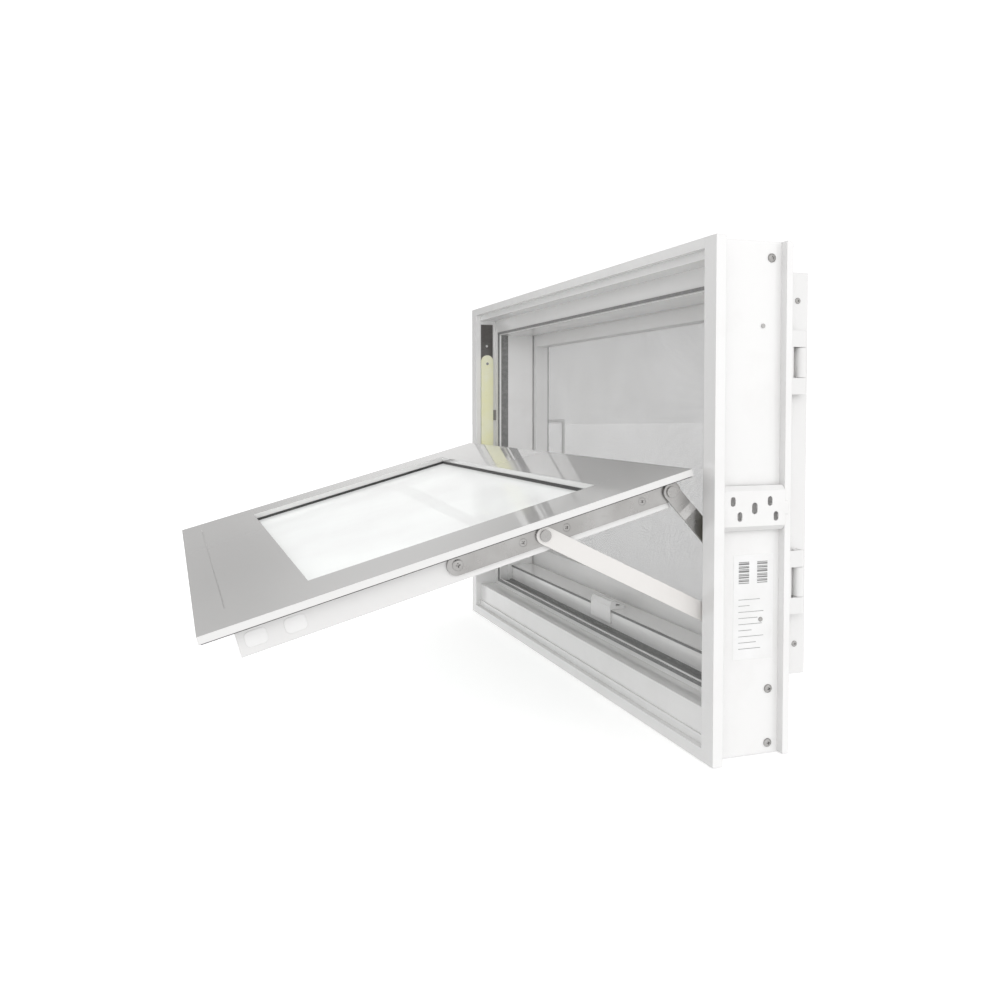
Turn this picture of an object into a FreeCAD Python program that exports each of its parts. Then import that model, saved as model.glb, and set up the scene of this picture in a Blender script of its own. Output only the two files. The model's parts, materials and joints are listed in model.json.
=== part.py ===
import FreeCAD, Part
import Sketcher
import math
import os

# Top-hung projecting window: an aluminium frame, a sash carried on two four-bar stays and a hinged
# insect screen.
# Millimetres. +Z is up, +Y is towards the room, the origin is under the middle of the sill nose.

sizeValues = {
    # frame
    "frame_width": 900.0, "frame_height": 600.0, "frame_depth": 110.0, "wall_thick": 2.0,
    "nose_width": 25.0, "nose_depth": 13.0, "stop_plane": 41.0, "jamb_face": 50.0,
    "fin_thick": 8.4, "fin_reach": 12.2, "web_drop": 19.5,
    "head_rim": 12.0, "head_recess": 9.5, "head_soffit": 22.0, "head_drop": 52.0,
    "sill_rim": 15.0, "sill_groove": 8.0, "sill_bead": 22.0, "sill_step": 25.5, "bead_proud": 1.0,
    "sill_face": 10.0, "edge_drop": 1.0,
    "sill_ledge": 57.0, "sill_lip": 70.6, "channel_floor": 64.0, "sill_riser": 67.0, "sill_top": 96.0,
    "seal_groove_start": 44.0, "seal_groove_width": 14.0, "seal_groove_deep": 3.0,
    "seal_inset": 2.0, "seal_width": 4.0, "seal_height": 2.4,
    # fixings seen on the outside of each jamb
    "screw_head_radius": 5.2, "screw_head_height": 2.6, "screw_line": 88.0, "screw_top_drop": 19.0,
    "screw_low_height": 76.5, "screw_foot_height": 12.0, "rivet_radius": 2.6, "rivet_height": 1.0,
    "rivet_line": 77.0, "rivet_top_drop": 98.0, "rivet_low_height": 159.5,
    "clip_below_middle": 8.5, "clip_height": 51.0, "clip_start": 18.7, "clip_length": 82.5,
    "clip_thick": 1.5, "clip_lip": 5.5, "clip_bend": 0.5, "clip_tab_height": 15.0,
    "clip_tab_reach": 6.2, "clip_back_tab": 4.6, "slot_radius": 3.25, "slot_length": 4.5,
    "middle_slot_radius": 3.74, "middle_slot_length": 5.85, "label_start": 40.0, "label_width": 54.0,
    "label_bottom": 114.0, "label_height": 122.0, "label_thick": 0.25,
    "tab_start": 35.0, "tab_reach": 6.0, "tab_thick": 3.0, "tab_height": 20.0, "tab_top_drop": 198.0,
    # sash
    "sash_gap": 1.5, "sash_bottom_gap": 26.8, "sash_top_gap": 14.5, "sash_depth": 38.0, "flange_thick": 8.0,
    "box_inset": 16.0, "stile_face": 86.0, "top_face": 85.0, "top_box_start": 31.0,
    "bottom_face": 122.0, "bottom_box_start": 34.0, "lip_width": 8.0,
    "face_groove_start": 31.4, "face_groove_width": 1.4, "face_groove_deep": 1.2,
    "glass_thick": 6.0, "glass_gap": 2.0, "glazing_seal": 1.5, "bead_width": 8.0,
    "outer_seal": 4.0, "outer_seal_proud": 1.5, "inner_seal_proud": 0.5,
    "gasket_inset": 2.0, "gasket_width": 6.0, "gasket_thick": 1.2,
    # stays
    "pivot_depth": 20.0, "lower_pivot_drop": 188.0, "upper_pivot_drop": 27.0, "long_arm_length": 233.64,
    "long_arm_swing": 63.5, "open_angle": 74.5, "short_arm_length": 84.0, "arm_width": 20.0,
    "arm_thick": 3.0, "guide_centre": 22.0, "guide_width": 24.0, "guide_bottom_drop": 410.0,
    "guide_length": 320.0, "guide_thick": 3.2, "guide_rivet_inset": 16.8, "track_bottom_drop": 452.0,
    "track_length": 422.0, "track_thick": 2.0,
    "bar_width": 22.0, "bar_thick": 3.0, "bar_start_drop": 14.0, "bar_length": 288.0,
    "layer_gap": 0.5, "joggle": 5.2, "short_joggle": 2.0, "first_bend": 77.0, "second_bend": 178.0,
    "short_first_part": 0.3, "short_second_part": 0.42,
    "shoe_thick": 3.0, "shoe_width": 22.0, "shoe_up": 49.0, "shoe_down": 52.0, "shoe_taper": 26.0,
    "pin_radius": 4.0, "running_fit": 0.08, "pin_head_radius": 6.5, "pin_head_height": 1.5,
    "bar_screw_radius": 4.5, "bar_screw_proud": 0.1, "bar_screw_end": 12.0, "bar_screw_below": 25.5,
    "bar_screw_above": 27.5, "bar_screw_top": 37.5, "hole_drop": 72.0,
    # handle and keeper
    "handle_offset": 15.0, "spindle_height": 122.0, "base_width": 76.0, "base_height": 24.0,
    "base_thick": 4.0, "base_screw_spread": 30.4, "housing_radius": 11.0, "housing_length": 28.0,
    "tongue_start": 75.4,
    "tongue_thick": 4.0, "tongue_reach": 20.0, "tongue_height": 12.0, "hub_radius": 8.0, "hub_flare": 1.0,
    "lever_thick": 8.0, "lever_length": 95.0, "lever_height": 14.0,
    "keeper_width": 70.0, "keeper_plate": 4.0, "keeper_front": 3.0, "keeper_foot": 75.0,
    "keeper_back": 90.0, "keeper_lip_back": 74.0, "keeper_lip_height": 8.0, "keeper_screw_spread": 25.0,
    # insect screen
    "screen_gap": 2.0, "screen_depth": 28.0, "screen_rail": 40.0, "screen_side": 25.0,
    "screen_bottom": 90.0, "screen_top_drop": 34.0, "screen_rebate": 10.0, "rebate_deep": 4.0,
    "mesh_thick": 0.4, "mesh_clear": 1.0, "spline_width": 4.0, "spline_height": 3.0,
    "hinge_line": 18.5, "hinge_centre_depth": 126.0, "hinge_upper_drop": 140.0, "hinge_lower": 202.0,
    "hinge_length": 75.0, "knuckle_radius": 6.0, "middle_knuckle": 35.0, "knuckle_gap": 0.4,
    "hinge_pin_radius": 2.5, "leaf_thick": 2.0, "leaf_width": 11.5, "moving_leaf_width": 24.0,
    "pull_radius": 3.2, "pull_top_drop": 220.0, "pull_length": 100.0, "pull_reach": 38.0,
    "screen_screw_drop": 67.0, "screen_screw_low": 126.0, "small_screw_radius": 3.6,
    "small_screw_height": 1.4,
}

# small slots of an anchor clip, as shares of its length and height from its middle
slotPlaces = ((-0.35, 0.165), (-0.24, -0.18), (0.25, 0.155), (0.35, -0.19))

doc = FreeCAD.newDocument("projecting_window")
sheet = doc.addObject("Spreadsheet::Sheet", "sizes")
for row, (sizeName, sizeValue) in enumerate(sizeValues.items(), start=1):
    sheet.set(f"A{row}", sizeName)
    sheet.set(f"B{row}", str(sizeValue))
    sheet.setAlias(f"B{row}", sizeName)
doc.recompute()


class Size:
    """A length or angle that knows both its value and the sheet expression it comes from."""

    def __init__(self, value, text=None):
        self.value = float(value)
        self.bound = text is not None
        self.text = text if self.bound else f"({round(self.value, 6)})"

    def join(self, other, sign, value):
        both = Size(value, f"({self.text} {sign} {other.text})")
        both.bound = self.bound or other.bound
        return both

    def __add__(self, other):
        other = asSize(other)
        return self.join(other, "+", self.value + other.value)

    def __sub__(self, other):
        other = asSize(other)
        return self.join(other, "-", self.value - other.value)

    def __mul__(self, other):
        other = asSize(other)
        return self.join(other, "*", self.value * other.value)

    def __truediv__(self, other):
        other = asSize(other)
        return self.join(other, "/", self.value / other.value)

    def __radd__(self, other):
        return asSize(other) + self

    def __rsub__(self, other):
        return asSize(other) - self

    def __rmul__(self, other):
        return asSize(other) * self

    def __neg__(self):
        return self * -1


def asSize(thing):
    return thing if isinstance(thing, Size) else Size(thing)


def sine(angle):
    return Size(math.sin(math.radians(angle.value)), f"sin({angle.text})")


def cosine(angle):
    return Size(math.cos(math.radians(angle.value)), f"cos({angle.text})")


def root(size):
    return Size(math.sqrt(size.value), f"sqrt({size.text})")


def arcsine(size):
    return Size(math.degrees(math.asin(size.value)), f"asin({size.text})")


class Sizes:
    """Reads a driving dimension of the sheet by its name."""

    def __getattr__(self, name):
        return Size(sizeValues[name], f"sizes.{name}")


s = Sizes()
zero = Size(0)
sides = (("right", 1), ("left", -1))


def bind(thing, path, size):
    if size.bound:
        thing.setExpression(path, size.text)


def originPlane(body, role):
    return next(feature for feature in body.Origin.OriginFeatures if feature.Role == role)


def addSketch(body, role, loops, circles, start):
    """A sketch of closed outlines and circles, every corner dimensioned from the origin."""
    sketch = body.newObject("Sketcher::SketchObject", "outline")
    sketch.AttachmentSupport = (originPlane(body, role), [""])
    sketch.MapMode = "FlatFace"
    sketch.AttachmentOffset = FreeCAD.Placement(FreeCAD.Vector(0, 0, start.value), FreeCAD.Rotation())
    bind(sketch, "AttachmentOffset.Base.z", start)
    dimensions = []
    for loop in loops:
        first = sketch.GeometryCount
        corners = [(asSize(a), asSize(b)) for a, b in loop]
        spots = [FreeCAD.Vector(a.value, b.value, 0) for a, b in corners]
        count = len(spots)
        for index in range(count):
            sketch.addGeometry(Part.LineSegment(spots[index], spots[(index + 1) % count]), False)
        for index in range(count):
            following = first + (index + 1) % count
            sketch.addConstraint(Sketcher.Constraint("Coincident", first + index, 2, following, 1))
            dimensions.append(("DistanceX", first + index, 1, corners[index][0]))
            dimensions.append(("DistanceY", first + index, 1, corners[index][1]))
    for across, up, radius in circles:
        across, up, radius = asSize(across), asSize(up), asSize(radius)
        centre = FreeCAD.Vector(across.value, up.value, 0)
        circle = sketch.addGeometry(Part.Circle(centre, FreeCAD.Vector(0, 0, 1), radius.value), False)
        dimensions.append(("DistanceX", circle, 3, across))
        dimensions.append(("DistanceY", circle, 3, up))
        dimensions.append(("Radius", circle, 0, radius))
    for kind, item, point, size in dimensions:
        if kind == "Radius":
            index = sketch.addConstraint(Sketcher.Constraint("Radius", item, size.value))
        else:
            index = sketch.addConstraint(Sketcher.Constraint(kind, -1, 1, item, point, size.value))
        bind(sketch, f"Constraints[{index}]", size)
    return sketch


def addPad(body, role, loops, length, centred=False, circles=(), start=zero):
    """Pads an outline: along +Z from the XY plane, +X from the YZ plane, +Y from the XZ plane."""
    sketch = addSketch(body, role, loops, circles, start)
    pad = body.newObject("PartDesign::Pad", "pad")
    pad.Profile = sketch
    pad.Length = length.value
    bind(pad, "Length", length)
    pad.Refine = True
    if centred:
        pad.SideType = "Symmetric"
    elif role == "XZ_Plane":
        pad.Reversed = True
    body.Tip = pad
    return pad


def newBody(label):
    body = doc.addObject("PartDesign::Body", label)
    body.Label = label
    return body


def ring(halfWidth, bottom, top, thickness):
    """The outer and inner outline of a rectangular ring."""
    inner = halfWidth - thickness
    return [
        [(-halfWidth, bottom), (halfWidth, bottom), (halfWidth, top), (-halfWidth, top)],
        [(-inner, bottom + thickness), (inner, bottom + thickness),
         (inner, top - thickness), (-inner, top - thickness)],
    ]


def rectangle(left, bottom, right, top):
    return [(left, bottom), (right, bottom), (right, top), (left, top)]


def box(left, front, bottom, right, back, top):
    """A block between two opposite corners."""
    block = doc.addObject("Part::Box", "block")
    low = [asSize(left), asSize(front), asSize(bottom)]
    high = [asSize(right), asSize(back), asSize(top)]
    block.Placement.Base = FreeCAD.Vector(*[size.value for size in low])
    for axis, side, start, end in zip("xyz", ("Length", "Width", "Height"), low, high):
        setattr(block, side, (end - start).value)
        bind(block, side, end - start)
        bind(block, f"Placement.Base.{axis}", start)
    return block


turns = {
    "x": FreeCAD.Rotation(FreeCAD.Vector(0, 1, 0), 90),
    "y": FreeCAD.Rotation(FreeCAD.Vector(-1, 0, 0), 90),
    "z": FreeCAD.Rotation(),
}


def rod(axis, x, y, z, radius, length):
    """A round bar that starts at a point and runs along +X, +Y or +Z."""
    bar = doc.addObject("Part::Cylinder", "rod")
    start = [asSize(x), asSize(y), asSize(z)]
    bar.Placement = FreeCAD.Placement(FreeCAD.Vector(*[size.value for size in start]), turns[axis])
    bar.Radius = radius.value
    bar.Height = length.value
    bind(bar, "Radius", radius)
    bind(bar, "Height", length)
    for name, size in zip("xyz", start):
        bind(bar, f"Placement.Base.{name}", size)
    return bar


def ball(x, y, z, radius):
    knob = doc.addObject("Part::Sphere", "ball")
    knob.Radius = radius.value
    bind(knob, "Radius", radius)
    for name, size in zip("xyz", (x, y, z)):
        setattr(knob.Placement.Base, name, asSize(size).value)
        bind(knob, f"Placement.Base.{name}", asSize(size))
    return knob


def joined(label, pieces):
    whole = doc.addObject("Part::MultiFuse", label)
    whole.Shapes = pieces
    whole.Refine = True
    whole.Label = label
    return whole


def cut(label, base, tools):
    less = doc.addObject("Part::Cut", label)
    less.Base = base
    less.Tool = tools[0] if len(tools) == 1 else joined(f"{label}_holes", tools)
    less.Label = label
    return less


def shared(label, first, second):
    both = doc.addObject("Part::Common", label)
    both.Base = first
    both.Tool = second
    both.Label = label
    return both


def span(sign, near, far):
    """The lower and upper x of a layer that lies between two distances from the middle of the window."""
    return (near, far) if sign > 0 else (-far, -near)


finished = []


def put(thing, x, y, z, angle=None, opensOut=True):
    """Sets a finished piece in the window, turned about X when an angle is given."""
    base = [asSize(x), asSize(y), asSize(z)]
    spot = FreeCAD.Vector(*[size.value for size in base])
    turn = FreeCAD.Rotation()
    if angle is not None:
        turn = FreeCAD.Rotation(FreeCAD.Vector(-1 if opensOut else 1, 0, 0), angle.value)
    thing.Placement = FreeCAD.Placement(spot, turn)
    for name, size in zip("xyz", base):
        bind(thing, f"Placement.Base.{name}", size)
    if angle is not None:
        bind(thing, "Placement.Rotation.Angle", angle)
    finished.append(thing)


# places that several pieces share
front = s.nose_depth / -2
halfWidth = s.frame_width / 2
webInside = halfWidth - s.nose_width
webOutside = webInside + s.wall_thick
jambInside = halfWidth - s.jamb_face
rearFace = s.frame_depth
halfSash = webInside - s.sash_gap
boxSide = halfSash - s.box_inset
sashTopClosed = s.frame_height - s.sash_top_gap
sashHeight = sashTopClosed - s.sash_bottom_gap

# the stay's pivots, first with the sash shut and then open
framePivotHeight = sashTopClosed - s.lower_pivot_drop - s.long_arm_length
openSine, openCosine = sine(s.open_angle), cosine(s.open_angle)
lowerPivotDepth = s.pivot_depth - s.long_arm_length * sine(s.long_arm_swing)
lowerPivotHeight = framePivotHeight + s.long_arm_length * cosine(s.long_arm_swing)
sashDepth = lowerPivotDepth + s.lower_pivot_drop * openSine - s.pivot_depth * openCosine
sashTop = lowerPivotHeight + s.lower_pivot_drop * openCosine + s.pivot_depth * openSine
upperPivotDepth = sashDepth - s.upper_pivot_drop * openSine + s.pivot_depth * openCosine
upperPivotHeight = sashTop - s.upper_pivot_drop * openCosine - s.pivot_depth * openSine
shortReach = s.guide_centre - upperPivotDepth
shortTurn = arcsine(shortReach / s.short_arm_length)
shoeHeight = upperPivotHeight - root(s.short_arm_length * s.short_arm_length - shortReach * shortReach)

# the stay's layers, counted out from the side of the sash
barOutside = boxSide + s.bar_thick
armInside = barOutside + s.layer_gap
armOutside = armInside + s.arm_thick
trackInside = webInside - s.track_thick
guideInside = trackInside - s.guide_thick
shoeOutside = guideInside - s.layer_gap
shoeInside = shoeOutside - s.shoe_thick
boreRadius = s.pin_radius + s.running_fit

# how far a cutting tool reaches past what it cuts
past = Size(1)


def putOnFrame(thing, x=zero, y=zero, z=zero):
    put(thing, x, front + y, z)


def putOnSash(thing, x=zero, y=zero, z=zero):
    """The sash's own frame has its origin on the outer face, in the middle of the top edge."""
    depth = front + sashDepth + y * openCosine + z * openSine
    height = sashTop - y * openSine + z * openCosine
    put(thing, x, depth, height, s.open_angle)


def frameMembers():
    finFront = rearFace - s.fin_thick
    chamberSide = s.jamb_face - s.seal_groove_deep - s.wall_thick
    grooveEnd = s.seal_groove_start + s.seal_groove_width
    for side, sign in sides:
        jamb = newBody(f"jamb_{side}")
        outline = [
            (0, 0), (s.nose_width, 0), (s.nose_width, s.stop_plane), (s.jamb_face, s.stop_plane),
            (s.jamb_face, s.seal_groove_start), (s.jamb_face - s.seal_groove_deep, s.seal_groove_start),
            (s.jamb_face - s.seal_groove_deep, grooveEnd), (s.jamb_face, grooveEnd),
            (s.jamb_face, rearFace), (s.fin_reach, rearFace), (s.fin_reach, finFront),
            (s.nose_width - s.wall_thick, finFront), (s.nose_width - s.wall_thick, s.wall_thick),
            (s.wall_thick, s.wall_thick), (s.wall_thick, s.nose_depth), (0, s.nose_depth),
        ]
        chamber = rectangle(s.nose_width, s.stop_plane + s.wall_thick, chamberSide, rearFace - s.wall_thick)
        loops = [[(across * -sign, along) for across, along in loop] for loop in (outline, chamber)]
        addPad(jamb, "XY_Plane", loops, s.frame_height)
        putOnFrame(jamb, halfWidth * sign)

    head = newBody("head_rail")
    addPad(head, "YZ_Plane", [[
        (0, 0), (s.nose_depth, 0), (s.nose_depth, -s.web_drop), (s.stop_plane, -s.web_drop),
        (s.stop_plane, -s.head_soffit), (s.head_recess, -s.head_soffit),
        (s.head_recess, -s.head_rim), (0, -s.head_rim),
    ]], webInside * 2, centred=True)
    addPad(head, "YZ_Plane", [
        [(s.stop_plane, -s.web_drop), (finFront, -s.web_drop), (finFront, -s.fin_reach),
         (rearFace, -s.fin_reach), (rearFace, -s.head_drop), (s.stop_plane, -s.head_drop)],
        rectangle(s.stop_plane + s.wall_thick, s.wall_thick - s.head_drop,
                  rearFace - s.wall_thick, -s.web_drop - s.wall_thick),
    ], jambInside * 2, centred=True)
    putOnFrame(head, z=s.frame_height)

    sill = newBody("sill_rail")
    chamberFloor = s.web_drop + s.wall_thick
    lipBack = s.stop_plane + s.wall_thick
    riserBack = s.sill_riser + s.wall_thick
    beadFace = s.sill_groove - s.bead_proud
    addPad(sill, "YZ_Plane", [
        [(0, 0), (s.nose_depth, 0), (s.nose_depth, s.web_drop), (s.stop_plane, s.web_drop),
         (s.stop_plane, s.sill_ledge), (s.sill_face, s.sill_ledge), (s.sill_face, s.sill_step),
         (beadFace, s.sill_step), (beadFace, s.sill_bead), (s.sill_groove, s.sill_bead),
         (s.sill_groove, s.sill_rim), (0, s.sill_rim)],
        rectangle(s.sill_face + s.wall_thick, chamberFloor,
                  s.stop_plane - s.wall_thick, s.sill_ledge - s.wall_thick),
    ], webInside * 2, centred=True)
    addPad(sill, "YZ_Plane", [
        [(s.stop_plane, s.web_drop), (finFront, s.web_drop), (finFront, s.fin_reach),
         (rearFace, s.fin_reach), (rearFace, s.sill_top), (s.sill_riser, s.sill_top),
         (s.sill_riser, s.channel_floor), (lipBack, s.channel_floor), (lipBack, s.sill_lip),
         (s.stop_plane, s.sill_lip)],
        [(lipBack, chamberFloor), (rearFace - s.wall_thick, chamberFloor),
         (rearFace - s.wall_thick, s.sill_top - s.wall_thick), (riserBack, s.sill_top - s.wall_thick),
         (riserBack, s.channel_floor - s.wall_thick), (lipBack, s.channel_floor - s.wall_thick)],
    ], jambInside * 2, centred=True)
    putOnFrame(sill)


def frameSeals():
    stopSeal = newBody("frame_stop_seal")
    outside = jambInside + s.seal_inset + s.seal_width
    bottom = s.sill_lip - s.seal_inset - s.seal_width
    top = s.frame_height - s.head_drop + s.seal_inset + s.seal_width
    addPad(stopSeal, "XZ_Plane", ring(outside, bottom, top, s.seal_width), s.seal_height)
    putOnFrame(stopSeal, y=s.stop_plane - s.seal_height)

    # the jamb seals stand in their grooves, just proud of the face
    proud = s.layer_gap
    grooveFloor = jambInside + s.seal_groove_deep
    strips = []
    for side, sign in sides:
        left, right = span(sign, jambInside - proud, grooveFloor)
        strips.append(box(left, s.seal_groove_start, s.sill_top, right,
                          s.seal_groove_start + s.seal_groove_width, s.frame_height - s.head_drop))
    putOnFrame(joined("jamb_groove_seals", strips))

    channelSeal = newBody("sill_channel_seal")
    lipBack = s.stop_plane + s.wall_thick
    bulb = s.sill_riser - s.seal_width
    addPad(channelSeal, "YZ_Plane", [[
        (lipBack, s.channel_floor), (s.sill_riser, s.channel_floor),
        (s.sill_riser, s.channel_floor + s.seal_width), (bulb, s.channel_floor + s.seal_width),
        (bulb - s.seal_inset, s.channel_floor + s.seal_inset), (lipBack, s.channel_floor + s.seal_inset),
    ]], jambInside * 2, centred=True)
    putOnFrame(channelSeal)

    # a thin strip along the sill edge, with a gap for the latch keeper
    keeperLeft = s.handle_offset - s.keeper_width / 2
    keeperRight = s.handle_offset + s.keeper_width / 2
    edgeFront = s.sill_riser - s.glazing_seal
    low, high = s.sill_top - s.seal_width, s.sill_top - s.edge_drop
    putOnFrame(joined("sill_edge_seal", [
        box(-jambInside, edgeFront, low, keeperLeft, s.sill_riser, high),
        box(keeperRight, edgeFront, low, jambInside, s.sill_riser, high),
    ]))


def jambFixings():
    screws, rivets = [], []
    for side, sign in sides:
        start = span(sign, webOutside, webOutside + s.screw_head_height)[0]
        for height in (s.frame_height - s.screw_top_drop, s.screw_low_height, s.screw_foot_height):
            screws.append(rod("x", start, s.screw_line, height, s.screw_head_radius, s.screw_head_height))
        start = span(sign, webOutside, webOutside + s.rivet_height)[0]
        for height in (s.frame_height - s.rivet_top_drop, s.rivet_low_height):
            rivets.append(rod("x", start, s.rivet_line, height, s.rivet_radius, s.rivet_height))
    putOnFrame(joined("corner_screws", screws))
    putOnFrame(joined("web_rivets", rivets))

    labelRight = webOutside + s.label_thick
    sticker = box(webOutside, s.label_start, s.label_bottom, labelRight,
                  s.label_start + s.label_width, s.label_bottom + s.label_height)
    around = rod("x", webOutside - past, s.rivet_line, s.rivet_low_height, s.rivet_radius + s.layer_gap,
                 s.label_thick + past * 2)
    putOnFrame(cut("jamb_label", sticker, [around]))

    # a small tab stands on the inside of each jamb, just in front of the stop face
    tabs = []
    for side, sign in sides:
        left, right = span(sign, webInside - s.tab_thick, webInside)
        top = s.frame_height - s.tab_top_drop
        tabs.append(box(left, s.tab_start, top - s.tab_height, right, s.tab_start + s.tab_reach, top))
    putOnFrame(joined("jamb_tabs", tabs))


def slot(sign, inside, y, z, radius, length):
    """Pieces of a tool that cuts an upright slot through an anchor clip."""
    start = span(sign, inside - past, inside + s.clip_thick + past)[0]
    deep = s.clip_thick + past * 2
    return [
        box(start, y - radius, z - length / 2, start + deep, y + radius, z + length / 2),
        rod("x", start, y, z - length / 2, radius, deep),
        rod("x", start, y, z + length / 2, radius, deep),
    ]


def anchorClips():
    clipInside = halfWidth - s.fin_reach
    clipOutside = clipInside + s.clip_thick
    clipEnd = s.clip_start + s.clip_length
    clipCentre = s.frame_height / 2 - s.clip_below_middle
    low = clipCentre - s.clip_height / 2
    high = clipCentre + s.clip_height / 2
    tabLow = clipCentre - s.clip_tab_height / 2
    tabHigh = clipCentre + s.clip_tab_height / 2
    for side, sign in sides:
        strip = newBody(f"clip_strip_{side}")
        bend = s.clip_bend
        outline = [
            (clipInside, low + s.clip_lip), (clipInside, high - s.clip_lip),
            (clipInside - s.clip_lip, high), (clipOutside - s.clip_lip, high + bend),
            (clipOutside, high - s.clip_lip + bend), (clipOutside, low + s.clip_lip - bend),
            (clipOutside - s.clip_lip, low - bend), (clipInside - s.clip_lip, low),
        ]
        addPad(strip, "XZ_Plane", [[(x * sign, z) for x, z in outline]], s.clip_length)
        strip.Placement.Base.y = s.clip_start.value
        bind(strip, "Placement.Base.y", s.clip_start)
        left, right = span(sign, clipInside, clipOutside)
        legLeft, legRight = span(sign, webOutside, clipOutside)
        frontTab = s.clip_start - s.clip_tab_reach
        body = joined(f"clip_blank_{side}", [
            strip,
            box(left, frontTab, tabLow, right, s.clip_start + past, tabHigh),
            box(left, clipEnd - past, tabLow, right, clipEnd + s.clip_back_tab, tabHigh),
            box(legLeft, s.clip_start, tabLow, legRight, s.clip_start + s.clip_thick, tabHigh),
        ])
        # four small slots in two staggered rows around one larger slot
        middle = s.clip_start + s.clip_length / 2
        slots = slot(sign, clipInside, middle, clipCentre, s.middle_slot_radius, s.middle_slot_length)
        for along, up in slotPlaces:
            slots += slot(sign, clipInside, middle + s.clip_length * along, clipCentre + s.clip_height * up,
                          s.slot_radius, s.slot_length)
        putOnFrame(cut(f"anchor_clip_{side}", body, slots))


def strap(inside, thick, sign, centre, width, bottom, top):
    """Pieces of a flat bar with round ends, its length along Z."""
    left, right = span(sign, inside, inside + thick)
    half = width / 2
    return [
        box(left, centre - half, bottom + half, right, centre + half, top - half),
        rod("x", left, centre, bottom + half, half, thick),
        rod("x", left, centre, top - half, half, thick),
    ]


def stayTracks():
    rivets, pivots = [], []
    guideBottom = s.frame_height - s.guide_bottom_drop
    guideTop = guideBottom + s.guide_length
    trackBottom = s.frame_height - s.track_bottom_drop
    for side, sign in sides:
        left, right = span(sign, trackInside, webInside)
        half = s.guide_width / 2
        plate = box(left, s.guide_centre - half, trackBottom, right, s.guide_centre + half,
                    trackBottom + s.track_length)
        window = rod("x", left - past, s.guide_centre, s.frame_height - s.hole_drop, s.rivet_radius,
                     s.track_thick + past * 2)
        putOnFrame(cut(f"stay_track_{side}", plate, [window]))
        guide = joined(f"guide_blank_{side}", strap(guideInside, s.guide_thick, sign, s.guide_centre,
                                                    s.guide_width, guideBottom, guideTop))
        start = span(sign, guideInside - s.bar_screw_proud, trackInside)[0]
        bores = []
        for height in (guideBottom + s.guide_width / 2, guideTop - s.guide_rivet_inset):
            rivets.append(rod("x", start, s.guide_centre, height, s.rivet_radius,
                              s.guide_thick + s.bar_screw_proud))
            bores.append(rod("x", start - past, s.guide_centre, height, s.rivet_radius + s.running_fit,
                             s.guide_thick + past * 2))
        putOnFrame(cut(f"guide_bar_{side}", guide, bores))

        # pivot pin of the long arm: a collar on the track, the shank, and a head over the arm
        collarEnd = shoeOutside + s.layer_gap / 2
        inner = shoeInside - s.layer_gap
        start = span(sign, inner - s.pin_head_height, trackInside)[0]
        pivots.append(rod("x", start, s.pivot_depth, framePivotHeight, s.pin_radius,
                          trackInside - inner + s.pin_head_height))
        start = span(sign, inner - s.pin_head_height, inner)[0]
        pivots.append(rod("x", start, s.pivot_depth, framePivotHeight, s.pin_head_radius, s.pin_head_height))
        start = span(sign, collarEnd, trackInside)[0]
        pivots.append(rod("x", start, s.pivot_depth, framePivotHeight, s.pin_head_radius,
                          trackInside - collarEnd))
    putOnFrame(joined("guide_rivets", rivets))
    putOnFrame(joined("frame_pivots", pivots))


def crankedArm(side, sign, label, length, levels, bends, turn, angle, y, z):
    """A flat arm with a joggle: round ends seen from the side, stepped seen edge on."""
    half = s.arm_width / 2
    startLevel, endLevel = levels
    firstBend, secondBend = bends
    stepped = newBody(f"{label}_strip_{side}")
    outline = [
        (startLevel, -half * turn), (startLevel, firstBend * turn), (endLevel, secondBend * turn),
        (endLevel, (length + half) * turn), (endLevel + s.arm_thick, (length + half) * turn),
        (endLevel + s.arm_thick, secondBend * turn), (startLevel + s.arm_thick, firstBend * turn),
        (startLevel + s.arm_thick, -half * turn),
    ]
    addPad(stepped, "XZ_Plane", [[(x * sign, up) for x, up in outline]], s.arm_width, centred=True)
    low, high = (-half, length + half) if turn > 0 else (-length - half, half)
    reach = s.arm_thick + s.joggle
    lowest = startLevel if startLevel.value < endLevel.value else endLevel
    blank = joined(f"{label}_blank_{side}", strap(lowest, reach, sign, zero, s.arm_width, low, high))
    start = span(sign, lowest - past, lowest + reach + past)[0]
    bores = [rod("x", start, zero, at, boreRadius, reach + past * 2) for at in (zero, length * turn)]
    arm = cut(f"{label}_{side}", shared(f"{label}_shape_{side}", stepped, blank), bores)
    put(arm, zero, front + y, z, angle, opensOut=False)


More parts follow.
